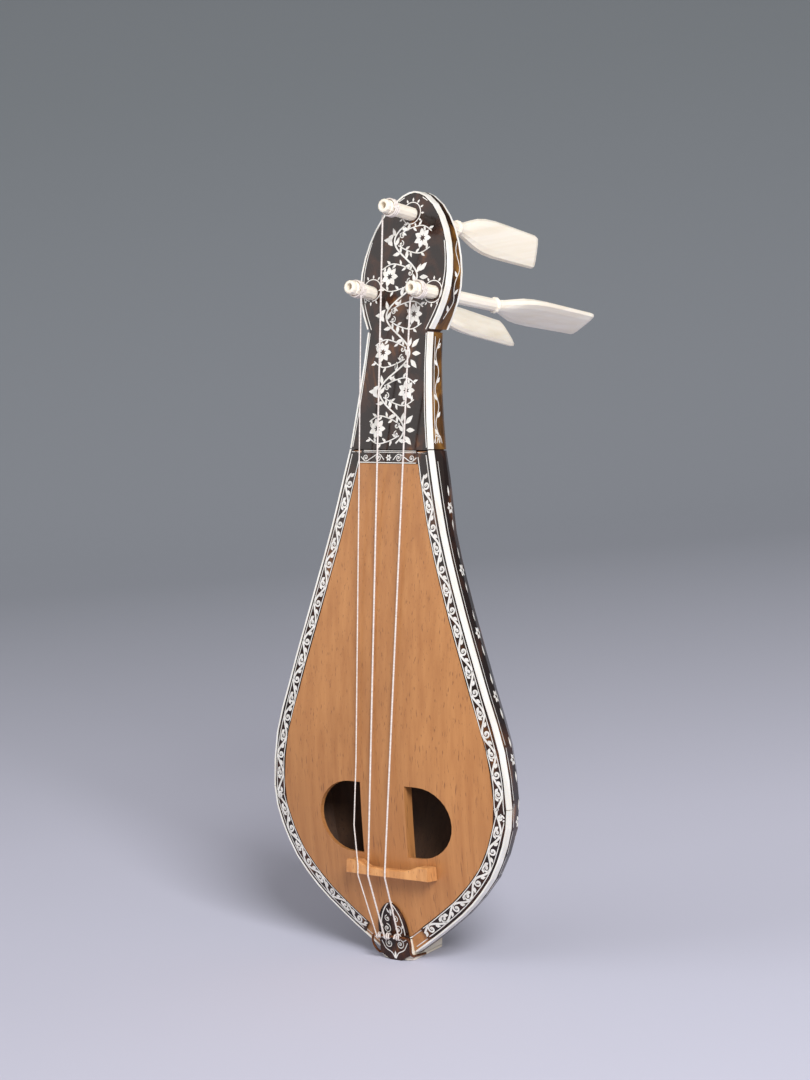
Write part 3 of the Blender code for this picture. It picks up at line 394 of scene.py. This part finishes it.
def leaf(bm, x, z, length, width, angle, place=on_face):
    """A pointed leaf from its stalk outwards."""
    axis = (math.cos(angle), math.sin(angle))
    side = (-axis[1], axis[0])
    outline = []
    for t, w in ((0, 0), (0.2, 0.6), (0.45, 1), (0.75, 0.6), (1, 0), (0.75, -0.6), (0.45, -1), (0.2, -0.6)):
        outline.append((x + axis[0] * length * t + side[0] * width / 2 * w,
                        z + axis[1] * length * t + side[1] * width / 2 * w))
    points = [place(*p) for p in outline]
    if all(points):
        bm.faces.new([bm.verts.new(p) for p in points])


def flower(bm, x, z, radius, petals, place=on_face):
    """Petals round a small open middle."""
    for i in range(petals):
        angle = 2 * math.pi * i / petals
        start = (x + 0.2 * radius * math.cos(angle), z + 0.2 * radius * math.sin(angle))
        leaf(bm, *start, radius * 0.85, radius * 0.6, angle, place)


def ring(bm, x, z, radius, width):
    """A round line."""
    angles = [2 * math.pi * i / 40 for i in range(41)]
    ribbon(bm, [(x + radius * math.cos(a), z + radius * math.sin(a)) for a in angles], width)


def branch(bm, points, width, leaf_length, spacing):
    """A stem along the points with leaves to its left and right in turn."""
    path = spread(points, STEM_STEP)
    ribbon(bm, path, width)
    step = int(spacing / STEM_STEP)
    for k, i in enumerate(range(step // 2, len(path) - 1, step)):
        heading = math.atan2(path[i + 1][1] - path[i][1], path[i + 1][0] - path[i][0])
        way = 1 if k % 2 else -1
        leaf(bm, *path[i], leaf_length, leaf_length * 0.42, heading + way * 0.9)


def volute(bm, x, z, radius, start, turns, way, width):
    """A spiral that closes in on its centre and ends in a round eye."""
    steps = int(26 * turns)
    path = []
    for i in range(steps + 1):
        share = i / steps
        angle = start + way * 2 * math.pi * turns * share
        reach = radius * (1 - 0.78 * share)
        path.append((x + reach * math.cos(angle), z + reach * math.sin(angle)))
    ribbon(bm, path, width)
    flower(bm, x, z, radius * 0.3, 6)


def inlay_piece(name, bm, outward=FRONT):
    """Makes the inlay one thin solid layer that rides on the instrument."""
    bmesh.ops.recalc_face_normals(bm, faces=bm.faces)
    for face in bm.faces:
        if face.normal.dot(outward) < 0:
            face.normal_flip()
    mesh = bpy.data.meshes.new(name)
    bm.to_mesh(mesh)
    bm.free()
    piece = bpy.data.objects.new(name, mesh)
    bpy.context.scene.collection.objects.link(piece)
    mesh.materials.append(INLAY)
    thickness = piece.modifiers.new("thickness", "SOLIDIFY")
    thickness.thickness = INLAY_THICKNESS
    thickness.offset = -1
    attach(piece, "root")
    return piece


def outline_path(points, side, step):
    """One side of an outline given as (height, half width), as a path."""
    return spread([(side * w, z) for z, w in points], step)


def border_scrolls(side):
    """Pinstripes along both edges of the border, and scrolls that turn in and out between them."""
    bm = bmesh.new()
    edge = outline_path(OUTLINE, side, LINE_STEP)
    ribbon(bm, offset(edge, side * (EDGE + OUTER_LINE_INSET)), LINE_WIDTH)
    ribbon(bm, offset(edge, side * (EDGE + BORDER_WIDTH - INNER_LINE_INSET)), LINE_WIDTH)
    inset = EDGE + 0.5 * BORDER_WIDTH + SCROLL_SHIFT
    middle = offset(outline_path(OUTLINE, side, FINE_STEP), side * inset)
    sides = normals(middle)
    last = len(middle) - 1
    half = int(SCROLL_PERIOD / 2 / FINE_STEP)
    for k in range((len(middle) - SCROLL_SPARE) // half):
        start = SCROLL_START + k * half
        flip = 1 if k % 2 == 0 else -1
        back = 0 if flip > 0 else math.pi
        wave = []
        for i in range(half + 1):
            j = min(start + i, last)
            sway = flip * VOLUTE_RADIUS * math.sin(math.pi * i / half)
            wave.append((middle[j][0] + sides[j][0] * sway, middle[j][1] + sides[j][1] * sway))
        ribbon(bm, wave[::2], SCROLL_WIDTH)
        j = min(start + half // 2, last)
        along = math.atan2(sides[j][1], sides[j][0])
        volute(bm, middle[j][0] - sides[j][0] * flip * 0.0002, middle[j][1] - sides[j][1] * flip * 0.0002,
               VOLUTE_RADIUS, along + back, 1.15, flip, VOLUTE_WIDTH)
        for lead in (-0.3, 0.32):
            m = min(max(int(j + lead * half), 0), last)
            leaf(bm, *middle[m], 0.0032, 0.0018, along + math.pi - back + lead * 3)
    return inlay_piece("border_inlay_" + ("left" if side < 0 else "right"), bm)


def border_top_inlay():
    """Lines and four volutes with a flower between them, on the border's strip below the neck."""
    bm = bmesh.new()
    for z in (-0.0009, -0.0017):
        ribbon(bm, spread([(-BORDER_TOP_LINE, z), (BORDER_TOP_LINE, z)], LINE_STEP), 0.0003)
    ribbon(bm, spread([(-0.020, -0.0071), (0.020, -0.0071)], LINE_STEP), LINE_WIDTH)
    for side in (-1, 1):
        volute(bm, side * 0.0065, BORDER_TOP_MIDDLE, 0.0020, math.pi / 2, 1.4, -side, 0.0004)
        volute(bm, side * 0.0150, BORDER_TOP_MIDDLE, 0.0017, -math.pi / 2, 1.3, side, 0.0004)
        ribbon(bm, spread([(side * 0.0030, -0.0056), (side * 0.0065, -0.0026),
                           (side * 0.0110, BORDER_TOP_MIDDLE), (side * 0.0150, -0.0064),
                           (side * 0.0185, -0.0040)], STEM_STEP), LINE_WIDTH)
    flower(bm, 0, -0.0045, 0.0018, 6)
    return inlay_piece("border_inlay_top", bm)


def neck_vine():
    """A climbing stem with leaves and a flower in each bend, inside a white line."""
    bm = bmesh.new()
    for side in (-1, 1):
        neck = spread([(side * 0.0242, 0.001), (side * 0.0215, 0.020), (side * 0.0196, 0.040),
                       (side * 0.0184, 0.061)], LINE_STEP)
        ribbon(bm, neck, LINE_WIDTH)
        ribbon(bm, offset(outline_path(HEAD_OUTLINE, side, LINE_STEP), side * HEAD_LINE_INSET), LINE_WIDTH)
    climb = [VINE_START + VINE_LENGTH * i / VINE_POINTS for i in range(VINE_POINTS + 1)]
    branch(bm, [(VINE_SWAY * math.sin(math.pi * z / VINE_BEND), z) for z in climb], 0.0009, 0.0052, 0.0058)
    for k in range(VINE_BENDS):
        z = VINE_BEND * (k + 0.5)
        side = -1 if k % 2 == 0 else 1
        outwards = 0 if side < 0 else math.pi
        reach = NECK_REACH if k < NECK_BENDS else HEAD_REACH
        flower(bm, side * 0.58 * reach, z + 0.0006, 0.0052, 7)
        for way in (-1, 1):
            branch(bm, [(-side * 0.0060, z + way * 0.0030), (side * 0.0010, z + way * 0.0060),
                        (side * 0.55 * reach, z + way * 0.0072), (side * 0.95 * reach, z + way * 0.0040)],
                   0.0006, 0.0034, 0.0038)
            leaf(bm, -side * 0.0098, z + way * 0.0032, 0.0062, 0.0028, outwards + way * 0.8)
            volute(bm, -side * 0.0040, z + way * 0.0022, 0.0017, math.pi / 2, 1.1, way * side, 0.0005)
        leaf(bm, -side * 0.0104, z, 0.0056, 0.0026, outwards)
    for x, z in PEG_HOLES:
        ring(bm, x, z, PEG_RING_RADIUS, 0.0005)
        stalk = PEG_RING_RADIUS + 0.0003
        for i in range(PEG_RING_LEAVES):
            angle = 2 * math.pi * i / PEG_RING_LEAVES
            leaf(bm, x + stalk * math.cos(angle), z + stalk * math.sin(angle), 0.0022, 0.0011, angle)
    return inlay_piece("neck_head_inlay", bm)


def tail_inlay():
    """A leafy scroll in a white outline on the plaque, and two facing volutes on the facet below it."""
    bm = bmesh.new()
    for side in (-1, 1):
        volute(bm, side * 0.0036, -0.2530, 0.0026, -side * math.pi / 2, 1.3, side, 0.00045)
        volute(bm, side * 0.0026, -0.2475, 0.0018, math.pi / 2, 1.2, -side, 0.0004)
        leaf(bm, side * 0.001, -0.2445, 0.0030, 0.0010, math.pi / 2 - side * 0.5)
        leaf(bm, side * 0.0062, -0.2525, 0.0028, 0.0010, math.pi / 2 - side * 0.3)
        volute(bm, side * 0.0036, -0.2612, 0.0026, math.pi / 2, 1.4, -side, 0.00045)
        ribbon(bm, spread([(side * 0.0003, -0.2690), (side * 0.0022, -0.2660), (side * 0.0060, -0.2640),
                           (side * 0.0085, -0.2600)], STEM_STEP), 0.0005)
        ribbon(bm, spread([(side * 0.0001, -0.2381), (side * 0.0030, -0.2412), (side * 0.0056, -0.2455),
                           (side * 0.0072, -0.2510), (side * 0.0076, -0.2560)], STEM_STEP), 0.0006)
    leaf(bm, 0, -0.2460, 0.0042, 0.0014, math.pi / 2)
    leaf(bm, 0, -0.2690, 0.0040, 0.0014, math.pi / 2)
    return inlay_piece("tail_inlay", bm)


def side_inlay(side):
    """White lines down neck and bowl, a climbing vine on neck and head, and stars along the bowl."""
    bm = bmesh.new()
    place = side_place(side)
    for depth, low, high in ((0.0062, -0.235, -0.006), (0.0060, 0.003, 0.059)):
        ribbon(bm, [(depth, low + (high - low) * i / 80) for i in range(81)], 0.0004, place)
    for low, high in ((0.004, 0.058), (0.068, 0.112)):
        climb = [low + (high - low) * i / 60 for i in range(61)]
        stem = [(SIDE_VINE_DEPTH + SIDE_VINE_SWAY * math.sin(2 * math.pi * z / SIDE_VINE_PERIOD), z)
                for z in climb]
        ribbon(bm, stem, 0.0005, place)
        for k in range(int((high - low) / SIDE_LEAF_SPACING)):
            z = low + SIDE_LEAF_SPACING * (k + 0.4)
            leaf(bm, SIDE_VINE_DEPTH, z, 0.0042, 0.0018, 0.9 if k % 2 else 2.2, place)
    for z in STAR_HEIGHTS:
        flower(bm, STAR_DEPTH, z, 0.0032, 6, place)
        for way in (-1, 1):
            leaf(bm, STAR_DEPTH, z + way * 0.0060, 0.0056, 0.0016, way * math.pi / 2, place)
    for depth in (0.0050, 0.0072):
        bend = [(depth + 0.0045 * i / 20, 0.0035 + 0.004 * math.sin(math.pi * i / 20)) for i in range(21)]
        ribbon(bm, bend, 0.0005, place)
    return inlay_piece("side_inlay_" + ("left" if side < 0 else "right"), bm, Vector((side, 0, 0)))


side_inlay(-1)
side_inlay(1)
border_scrolls(-1)
border_scrolls(1)
border_top_inlay()
neck_vine()
tail_inlay()


# Camera, floor and light
def place_camera():
    """Looks at the target from the photograph's place."""
    azimuth, elevation, roll = CAMERA_AZIMUTH, CAMERA_ELEVATION, CAMERA_ROLL
    look = Vector((-math.sin(azimuth) * math.cos(elevation), math.cos(azimuth) * math.cos(elevation),
                   -math.sin(elevation)))
    level = look.cross(Vector((0, 0, 1))).normalized()
    upright = level.cross(look)
    right = math.cos(roll) * level + math.sin(roll) * upright
    up = -math.sin(roll) * level + math.cos(roll) * upright
    eye = CAMERA_TARGET - look * CAMERA_DISTANCE
    axes = Matrix((right, up, -look)).transposed().to_4x4()
    data = bpy.data.cameras.new("camera")
    data.sensor_fit = "VERTICAL"
    data.sensor_height = 36
    data.lens = CAMERA_LENS
    camera = bpy.data.objects.new("camera", data)
    camera.matrix_world = INSTRUMENT @ Matrix.Translation(eye) @ axes
    bpy.context.scene.collection.objects.link(camera)
    bpy.context.scene.camera = camera


def backdrop():
    """A sheet of paper that lies flat as the floor and curves up far behind."""
    bm = bmesh.new()
    profile = [(FLOOR_FRONT, 0.0), (FLOOR_BACK, 0.0)]
    for i in range(1, CURVE_STEPS + 1):
        angle = math.pi / 2 * i / CURVE_STEPS
        profile.append((FLOOR_BACK + CURVE_RADIUS * math.sin(angle), CURVE_RADIUS * (1 - math.cos(angle))))
    profile.append((FLOOR_BACK + CURVE_RADIUS, WALL_TOP))
    turn = Matrix.Rotation(CAMERA_AZIMUTH, 4, "Z")
    edges = (-SHEET_HALF_WIDTH, SHEET_HALF_WIDTH)
    rows = [[bm.verts.new(turn @ Vector((x, y, z - FLOOR_DROP))) for x in edges] for y, z in profile]
    spans = bm.loops.layers.uv.new("length")
    lengths = [0.0]
    for a, b in zip(profile, profile[1:]):
        lengths.append(lengths[-1] + math.dist(a, b))
    shares = [length / lengths[-1] for length in lengths]
    for a, b, low, high in zip(rows, rows[1:], shares, shares[1:]):
        face = bm.faces.new((a[0], a[1], b[1], b[0]))
        for loop, corner in zip(face.loops, ((0, low), (1, low), (1, high), (0, high))):
            loop[spans].uv = corner
    mesh = bpy.data.meshes.new("backdrop")
    bm.to_mesh(mesh)
    bm.free()
    mesh.materials.append(PAPER)
    mesh.shade_smooth()
    paper = bpy.data.objects.new("backdrop", mesh)
    bpy.context.scene.collection.objects.link(paper)


def area_light(name, place, size, power):
    """A square lamp that points at the instrument."""
    data = bpy.data.lights.new(name, "AREA")
    data.size = size
    data.energy = power
    light = bpy.data.objects.new(name, data)
    light.location = place
    light.rotation_euler = (LAMP_AIM - Vector(place)).to_track_quat("-Z", "Y").to_euler()
    bpy.context.scene.collection.objects.link(light)


place_camera()
backdrop()
area_light("key_light", (1.5, -1.0, 1.5), 0.9, 52)
area_light("fill_light", (-1.6, -1.4, 1.2), 1.6, 12)
world = bpy.data.worlds.new("studio")
bpy.context.scene.world = world
world.use_nodes = True
world.node_tree.nodes["Background"].inputs["Color"].default_value = (1.0, 0.98, 0.95, 1)
world.node_tree.nodes["Background"].inputs["Strength"].default_value = 0.4
bpy.context.scene.view_settings.view_transform = "Standard"
